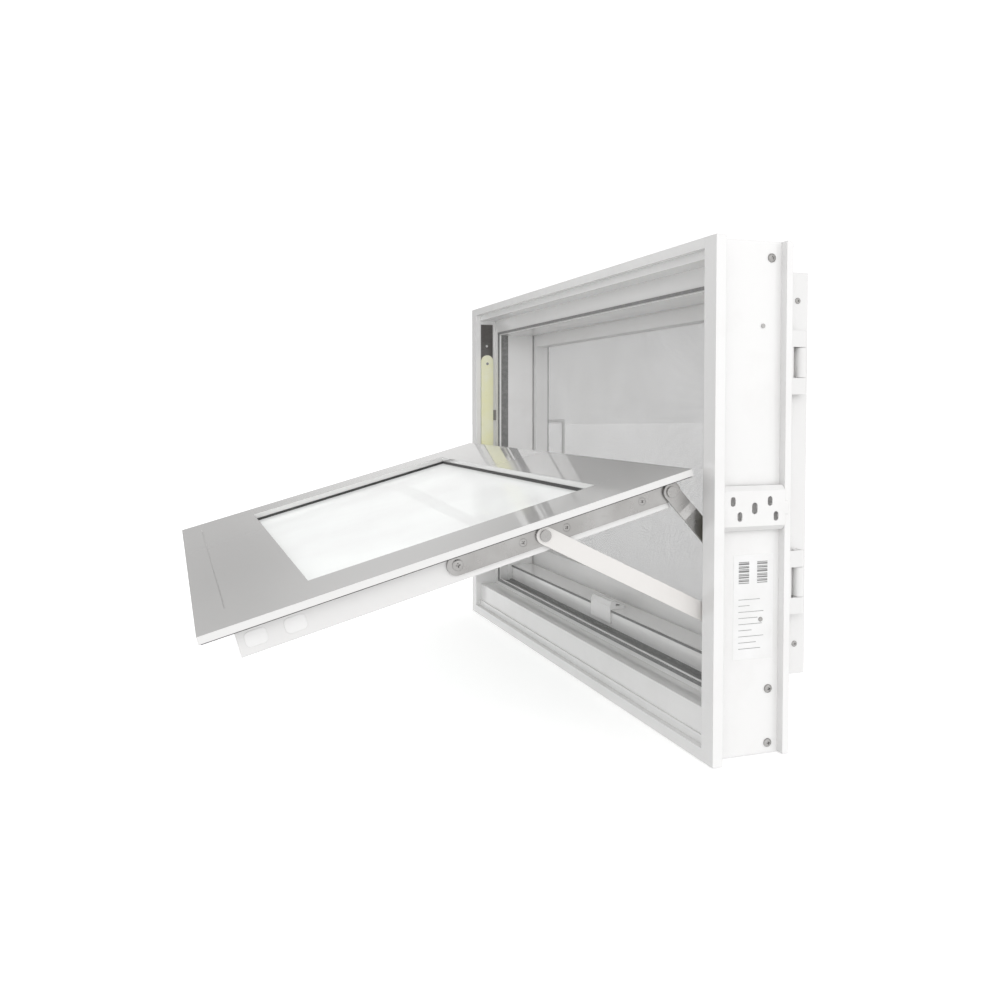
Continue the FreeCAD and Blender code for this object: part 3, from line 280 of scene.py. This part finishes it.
whitePaint = {"colour": grey(0.86, 0.004), "dusty": grey(0.74, 0.012), "dust": 0.35, "dustScale": 11.0,
              "rough": 0.16, "coat": 0.55, "peel": 420.0, "peelDepth": 0.05, "edge": 0.0007}
steel = {"colour": grey(0.33, 0.008), "second": grey(0.4, 0.006), "worn": grey(0.27, 0.012), "metallic": 1.0,
         "rough": 0.18, "spread": 0.22, "grain": 240.0, "along": (1, 0.2, 0.2), "depth": 0.12, "edge": 0.0005}
zinc = {"colour": (0.95, 0.94, 0.6, 1), "second": (0.97, 0.97, 0.76, 1), "worn": (0.84, 0.8, 0.5, 1),
        "rough": 0.26, "depth": 0.06, "metallic": 0.2}
finishes = {
    "frame_white": paintFinish("frame_white", whitePaint),
    "sash_white": paintFinish("sash_white", dict(
        whitePaint, colour=grey(0.78, 0.006), rough=0.05, coat=1.0, dust=0.25, peelDepth=0.02)),
    "screen_white": paintFinish("screen_white", dict(
        whitePaint, colour=grey(0.8, 0.004), rough=0.34, coat=0.15)),
    "clip_white": paintFinish("clip_white", dict(whitePaint, rough=0.3, coat=0.2, edge=0.0005)),
    "arm_cream": paintFinish("arm_cream", dict(
        whitePaint, colour=grey(0.76, 0.02), dusty=grey(0.62, 0.03), rough=0.28, coat=0.3, edge=0.0004)),
    "pull_white": paintFinish("pull_white", dict(whitePaint, rough=0.25, edge=0.0)),
    "handle_white": paintFinish("handle_white", dict(whitePaint, rough=0.25, edge=0.001)),
    "keeper_plastic": paintFinish("keeper_plastic", dict(whitePaint, rough=0.3, coat=0.25, peelDepth=0.02)),
    "seal_black": rubberFinish("seal_black", {
        "colour": grey(0.03), "bloom": grey(0.07, 0.002), "rough": 0.5}),
    "seal_grey": rubberFinish("seal_grey", {
        "colour": grey(0.2), "bloom": grey(0.3, 0.003), "rough": 0.45}),
    "spline_grey": rubberFinish("spline_grey", {
        "colour": grey(0.09), "bloom": grey(0.16, 0.002), "rough": 0.5}),
    "stainless": metalFinish("stainless", steel),
    "dark_steel": metalFinish("dark_steel", dict(
        steel, colour=grey(0.14, 0.006), second=grey(0.2, 0.006), worn=grey(0.1, 0.004), rough=0.3)),
    "zinc_yellow": metalFinish("zinc_yellow", dict(steel, **zinc)),
    "fixings": metalFinish("fixings", dict(steel, grain=500.0, along=(1, 1, 1), rough=0.24, edge=0.0003)),
    "pins": metalFinish("pins", dict(steel, along=(1, 1, 1), rough=0.14, edge=0.0004)),
    "lock_steel": metalFinish("lock_steel", dict(steel, colour=grey(0.5, 0.01), along=(1, 1, 1), rough=0.3)),
    # glass: the glow colours are painted light, and the cover range sets how far the painted sheen spreads at a
    # glancing view
    "glass": glassFinish("glass", {
        "tint": (0.95, 0.98, 0.96, 1), "paintedSheenBase": (0.92, 0.94, 0.93, 1), "film": grey(0.86),
        "glow": grey(0.26), "paintedGlowFilm": grey(0.22), "paintedSheenCover": (0.08, 0.8)}),
    "mesh_grey": meshFinish("mesh_grey", {
        "pitch": 0.0016, "thread": 0.00042, "colour": grey(0.36, 0.002), "second": grey(0.46, 0.002)}),
    "label_paper": paperFinish("label_paper", {"colour": grey(0.88), "second": grey(0.83, 0.004)}),
}
printFinish = paperFinish("label_print", {"colour": grey(0.2), "second": grey(0.32)})
slotOf = {part["node"]: part["material_slot"] for part in record["subparts"]}
for nodeName, nodeObject in nodes.items():
    for slot in nodeObject.material_slots:
        slot.material = finishes[slotOf[nodeName]]
print("finishes made:", len(finishes))


def meshObject(name, mesh, finish, body):
    piece = bpy.data.objects.new(name, mesh)
    bpy.context.scene.collection.objects.link(piece)
    piece.data.materials.clear()
    piece.data.materials.append(finish)
    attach(piece, body)
    return piece


def closed(mesh, name):
    # turns a working mesh into a kept one, every face looking outwards
    bmesh.ops.recalc_face_normals(mesh, faces=mesh.faces)
    result = bpy.data.meshes.new(name)
    mesh.to_mesh(result)
    mesh.free()
    return result


def merged(name, placed):
    # small meshes, each set at its own place, as a single mesh
    mesh = bmesh.new()
    for source, place in placed:
        before = len(mesh.verts)
        mesh.from_mesh(source)
        mesh.verts.ensure_lookup_table()
        bmesh.ops.transform(mesh, matrix=place, verts=mesh.verts[before:])
    return closed(mesh, name)


def islands(name):
    # the separate solids of a node, each as its low and high corner
    piece = nodes[name]
    owner = {}

    def root(key):
        while owner[key] != key:
            key = owner[key]
        return key

    # corners that agree to a hundredth of a millimetre are the same corner
    spots = [tuple(round(value, 5) for value in piece.matrix_world @ vertex.co)
             for vertex in piece.data.vertices]
    for spot in spots:
        owner[spot] = spot
    for face in piece.data.polygons:
        for index in face.vertices[1:]:
            owner[root(spots[index])] = root(spots[face.vertices[0]])
    groups = {}
    for spot in owner:
        groups.setdefault(root(spot), []).append(spot)
    return [(Vector([min(axis) for axis in zip(*group)]), Vector([max(axis) for axis in zip(*group)]))
            for group in groups.values()]


def skin(mesh, rings):
    # joins equal rings of corners one after another and closes both ends
    count = len(rings[0])
    for first, second in zip(rings, rings[1:]):
        for step in range(count):
            following = (step + 1) % count
            mesh.faces.new((first[step], first[following], second[following], second[step]))
    mesh.faces.new(list(reversed(rings[0])))
    mesh.faces.new(rings[-1])


headShape = {"sides": 28, "recessTaper": 0.45}


def screwHead(name, look):
    # a turned head standing along +X with a cross recess cut in it
    mesh = bmesh.new()
    turns = [2 * math.pi * step / headShape["sides"] for step in range(headShape["sides"])]
    skin(mesh, [[mesh.verts.new((along, radius * math.cos(turn), radius * math.sin(turn))) for turn in turns]
                for along, radius in look["profile"]])
    head = bpy.data.objects.new(name, closed(mesh, name))
    bpy.context.scene.collection.objects.link(head)
    top = look["profile"][-1][0]
    for turn in (0, 90):
        block = bmesh.new()
        bmesh.ops.create_cube(block, size=1.0)
        for vertex in block.verts:
            taper = 1.0 if vertex.co.x > 0 else headShape["recessTaper"]
            vertex.co = Vector((top + vertex.co.x * look["recessDepth"] * 2,
                                vertex.co.y * look["recessLength"] * taper,
                                vertex.co.z * look["recessWidth"]))
        cutter = bpy.data.objects.new("cutter", closed(block, "cutter"))
        cutter.rotation_euler = (math.radians(turn + look["turn"]), 0, 0)
        bpy.context.scene.collection.objects.link(cutter)
        recess = head.modifiers.new("recess", "BOOLEAN")
        recess.operation = "DIFFERENCE"
        recess.object = cutter
        bpy.context.view_layer.update()
        evaluated = head.evaluated_get(bpy.context.evaluated_depsgraph_get())
        carved = bpy.data.meshes.new_from_object(evaluated)
        head.modifiers.clear()
        head.data = carved
        bpy.data.objects.remove(cutter)
    result = head.data.copy()
    bpy.data.objects.remove(head)
    return result


def facing(spot, axis):
    # places a piece drawn along +X so that it stands along the given axis
    return Matrix.Translation(spot) @ Vector((1, 0, 0)).rotation_difference(axis).to_matrix().to_4x4()


def sideways(low, high):
    # places a head at the inner end of a screw that runs along X, facing away from the middle
    side = 1 if low.x > 0 else -1
    centre = (low + high) / 2
    centre.x = low.x if side > 0 else high.x
    return facing(centre, Vector((side, 0, 0)))


cornerScrew = {
    "profile": ((0.0, 0.0052), (0.0009, 0.0052), (0.0017, 0.0046), (0.0023, 0.0034), (0.0026, 0.0016)),
    "recessDepth": 0.0014, "recessLength": 0.0056, "recessWidth": 0.0011, "turn": 20,
}
cornerHead = screwHead("corner_screw_head", cornerScrew)
cornerPlaces = [(cornerHead, sideways(low, high)) for low, high in islands("corner_screws")]
cornerScrews = meshObject("corner_screw_heads", merged("corner_screw_heads", cornerPlaces),
                          finishes["fixings"], "frame")
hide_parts("corner_screws")
print("corner screws placed:", len(cornerPlaces))

barScrew = {
    "flush": {"profile": ((0.0, 0.0044), (0.0029, 0.0044), (0.0031, 0.0039)), "recessDepth": 0.0014,
              "recessLength": 0.0056, "recessWidth": 0.0011, "turn": 38},
    "raised": {"profile": ((0.0, 0.0044), (0.00301, 0.0044), (0.00302, 0.0064), (0.0036, 0.0062),
                           (0.0042, 0.005), (0.0045, 0.0028)),
               "recessDepth": 0.0016, "recessLength": 0.0068, "recessWidth": 0.0013, "turn": 10},
    "raisedReach": 0.01,  # how far from the outermost screw a head still counts as outermost
}
flushHead = screwHead("flush_head", barScrew["flush"])
raisedHead = screwHead("raised_head", barScrew["raised"])
barBoxes = islands("sash_bar_screws")
outermost = min(low.y for low, high in barBoxes)
barPlaces = [(raisedHead if low.y < outermost + barScrew["raisedReach"] else flushHead, sideways(low, high))
             for low, high in barBoxes]
barScrews = meshObject("bar_screw_heads", merged("bar_screw_heads", barPlaces),
                       finishes["fixings"], "sash")
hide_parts("sash_bar_screws")
print("bar screws placed:", len(barPlaces))

smallScrew = {
    "profile": ((0.0, 0.0036), (0.0006, 0.0036), (0.0011, 0.003), (0.0014, 0.0016)),
    "recessDepth": 0.0009, "recessLength": 0.004, "recessWidth": 0.0008, "turn": 30,
}
smallHead = screwHead("small_head", smallScrew)
handleTurn = next(joint for joint in frame["joints"] if joint["name"] == "handle_turn")
inwards = Vector(handleTurn["axis"]).normalized()  # square to the sash, towards the room
smallGroups = (
    ("keeper_screws", "keeper_screw_heads", "frame", Vector((0, 0, 1))),
    ("screen_screws", "screen_screw_heads", "screen", Vector((1, 0, 0))),
    ("handle_screws", "handle_screw_heads", "sash", inwards),
)
for source, name, body, axis in smallGroups:
    placed = []
    for low, high in islands(source):
        centre = (low + high) / 2 - axis * (smallScrew["profile"][-1][0] / 2)
        placed.append((smallHead, facing(centre, axis)))
    heads = meshObject(name, merged(name, placed), finishes["fixings"], body)
    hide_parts(source)
print("small screws placed")


def flatBar(mesh, low, high):
    corners = [mesh.verts.new((x, y, z)) for x in (low[0], high[0])
               for y, z in ((low[1], low[2]), (high[1], low[2]), (high[1], high[2]), (low[1], high[2]))]
    for ring in ((0, 3, 2, 1), (4, 5, 6, 7), (0, 1, 5, 4), (1, 2, 6, 5), (2, 3, 7, 6), (3, 0, 4, 7)):
        mesh.faces.new([corners[index] for index in ring])


# two blocks of bars and a few plain lines, with no writing
labelPrint = {
    "thick": 0.0001,
    "blockStarts": (0.007, 0.032), "blockWidth": 0.014, "blockTop": 0.008, "blockHeight": 0.026,
    "bars": (1.0, 2.2, 0.8, 1.6, 1.0, 2.6, 0.9, 1.4, 2.0, 0.8, 1.8, 1.1), "pitch": 1.7,
    "lines": (0.03, 0.024, 0.034, 0.018, 0.032, 0.026, 0.034, 0.015, 0.029), "lineStart": 0.007,
    "lineBottom": 0.012, "lineStep": 0.0072, "lineHeight": 0.0006,
}
labelLow, labelHigh = (Vector(corner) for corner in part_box("jamb_label"))
ink = bmesh.new()
face = labelHigh.x
for start in labelPrint["blockStarts"]:
    unit = labelPrint["blockHeight"] / sum(labelPrint["bars"]) / labelPrint["pitch"]
    cursor = labelHigh.z - labelPrint["blockTop"]
    for width in labelPrint["bars"]:
        flatBar(ink, (face, labelLow.y + start, cursor - width * unit),
                (face + labelPrint["thick"], labelLow.y + start + labelPrint["blockWidth"], cursor))
        cursor -= width * unit * labelPrint["pitch"]
for index, length in enumerate(labelPrint["lines"]):
    height = labelLow.z + labelPrint["lineBottom"] + index * labelPrint["lineStep"]
    start = labelLow.y + labelPrint["lineStart"]
    flatBar(ink, (face, start, height),
            (face + labelPrint["thick"], start + length, height + labelPrint["lineHeight"]))
meshObject("label_print", closed(ink, "label_print"), printFinish, "frame")
print("label printed")

# two moulded caps close holes in the side of the sash near its lower corner
sashCap = {"drops": (0.466, 0.506), "depth": 0.023, "width": 0.016, "length": 0.022, "thick": 0.0004,
           "radius": 0.005, "steps": 5, "flange": 0.008}
stileHigh = Vector(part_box("sash_stile_right")[1])
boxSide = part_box("sash_bar_right")[0][0]
down = Vector((0, inwards.z, -inwards.y))
sashCorner = Vector((0, stileHigh.y - sashCap["flange"] * inwards.y, stileHigh.z))
capDeep = sashCap["width"] / 2 - sashCap["radius"]
capAlong = sashCap["length"] / 2 - sashCap["radius"]
capMesh = bmesh.new()
for side in (1, -1):
    for drop in sashCap["drops"]:
        centre = sashCorner + inwards * sashCap["depth"] + down * drop
        rims = []
        for out in (0.0, sashCap["thick"]):
            rim = []
            for corner, (deepSide, alongSide) in enumerate(((1, 1), (-1, 1), (-1, -1), (1, -1))):
                for step in range(sashCap["steps"] + 1):
                    angle = math.pi / 2 * (corner + step / sashCap["steps"])
                    deep = deepSide * capDeep + sashCap["radius"] * math.cos(angle)
                    along = alongSide * capAlong + sashCap["radius"] * math.sin(angle)
                    spot = centre + inwards * deep + down * along
                    rim.append(capMesh.verts.new((side * (boxSide + out), spot.y, spot.z)))
            rims.append(rim)
        skin(capMesh, rims)
meshObject("sash_hole_caps", closed(capMesh, "sash_hole_caps"),
           finishes["keeper_plastic"], "sash")
print("sash caps placed")

floorLook = {"size": 40, "drop": 0.001, "colours": (grey(0.93), grey(0.95)), "glow": grey(0.42),
             "tone": {"scale": 1.2, "detail": 2.0, "low": 0.3, "high": 0.7}, "rough": 0.8, "shine": 0.1}
floorFinish = Finish("floor")
floorTone = floorFinish.patches(floorLook["tone"])
floorFinish.shader({
    "Base Color": floorFinish.blend(floorTone, *floorLook["colours"]),
    "Roughness": floorLook["rough"],
    "Specular IOR Level": floorLook["shine"],
    "Emission Color": floorLook["glow"],
    "Emission Strength": 1.0,
})
bpy.ops.mesh.primitive_plane_add(size=floorLook["size"], location=(0, 0, -floorLook["drop"]))
floor = bpy.context.object
floor.name = "floor"
floor.data.materials.append(floorFinish.material)
floor.visible_diffuse = False  # so that its brightness doesn't light the frame from below

# a grey card beyond the far end, seen only in glossy reflections
card = {"spot": (-2.4, 0.6, 1.0), "size": (5.0, 1.7), "dark": grey(0.16, 0.004), "light": grey(0.8, 0.006),
        "streaks": {"scale": 1.6, "detail": 2.0, "rough": 0.5, "along": (1.0, 0.35, 1.0), "low": 0.42,
                    "high": 0.58}}
cardFinish = Finish("card")
streaks = cardFinish.patches(card["streaks"])
cardFinish.shader({
    "Base Color": grey(0.0),
    "Roughness": 1.0,
    "Specular IOR Level": 0.0,
    "Emission Color": cardFinish.blend(streaks, card["dark"], card["light"]),
    "Emission Strength": 1.0,
})
bpy.ops.mesh.primitive_plane_add(size=1, location=card["spot"], rotation=(math.pi / 2, 0, math.pi / 2))
cardObject = bpy.context.object
cardObject.name = "card"
cardObject.scale = (card["size"][0], card["size"][1], 1)
cardObject.data.materials.append(cardFinish.material)
cardObject.visible_camera = False
cardObject.visible_diffuse = False
cardObject.visible_transmission = False
cardObject.visible_shadow = False

# the surroundings are white, brighter towards +X, dimmer in front, overhead and below;
# each part holds its strength, the direction where it starts and the one where it is full
sky = {"level": 1.09, "side": (0.36, 0.0, 0.8), "front": (0.22, -0.2, -0.8), "over": (0.45, 0.5, 0.8),
       "under": (0.66, -0.15, -0.5)}
world = bpy.data.worlds.new("studio")
bpy.context.scene.world = world
world.use_nodes = True
studio = Nodes(world.node_tree, "ShaderNodeOutputWorld")
east, north, zenith = studio.split(studio.add("ShaderNodeTexCoord", output="Generated"))


def skyPart(direction, part):
    strength, starts, full = sky[part]
    return studio.ramp(direction, starts, full) * strength


level = (sky["level"] + skyPart(east, "side") - skyPart(north, "front")
         - skyPart(zenith, "over") - skyPart(zenith, "under"))
backdrop = studio.add("ShaderNodeBackground", None, {"Color": grey(1.0), "Strength": level})
studio.tree.links.new(backdrop.socket, studio.output.inputs["Surface"])

lamps = {
    "key": {"spot": (2.6, -1.2, 1.6), "aim": (0.3, 0, 0.3), "size": 1.6, "power": 4},
    "side": {"spot": (3.0, 1.2, 1.2), "aim": (0.4, 0, 0.3), "size": 1.6, "power": 1.5},
}
for name, lamp in lamps.items():
    data = bpy.data.lights.new(name, "AREA")
    data.size = lamp["size"]
    data.energy = lamp["power"]
    light = bpy.data.objects.new(name, data)
    light.location = lamp["spot"]
    light.rotation_euler = (Vector(lamp["aim"]) - Vector(lamp["spot"])).to_track_quat("-Z", "Y").to_euler()
    bpy.context.scene.collection.objects.link(light)

view = {"spot": (1.378, -0.5826, 0.4081), "yaw": 0.3439, "pitch": 0.0352, "lens": 34.5, "sensor": 36,
        "shift": (-0.0093, -0.0593)}
cameraData = bpy.data.cameras.new("camera")
cameraData.lens = view["lens"]
cameraData.sensor_width = view["sensor"]
cameraData.shift_x, cameraData.shift_y = view["shift"]
camera = bpy.data.objects.new("camera", cameraData)
camera.location = view["spot"]
ahead = Vector((-math.cos(view["yaw"]) * math.cos(view["pitch"]),
                math.sin(view["yaw"]) * math.cos(view["pitch"]), -math.sin(view["pitch"])))
camera.rotation_euler = ahead.to_track_quat("-Z", "Y").to_euler()
bpy.context.scene.collection.objects.link(camera)
bpy.context.scene.camera = camera
bpy.context.scene.view_settings.view_transform = "Standard"
print("stage, lamps and camera set")
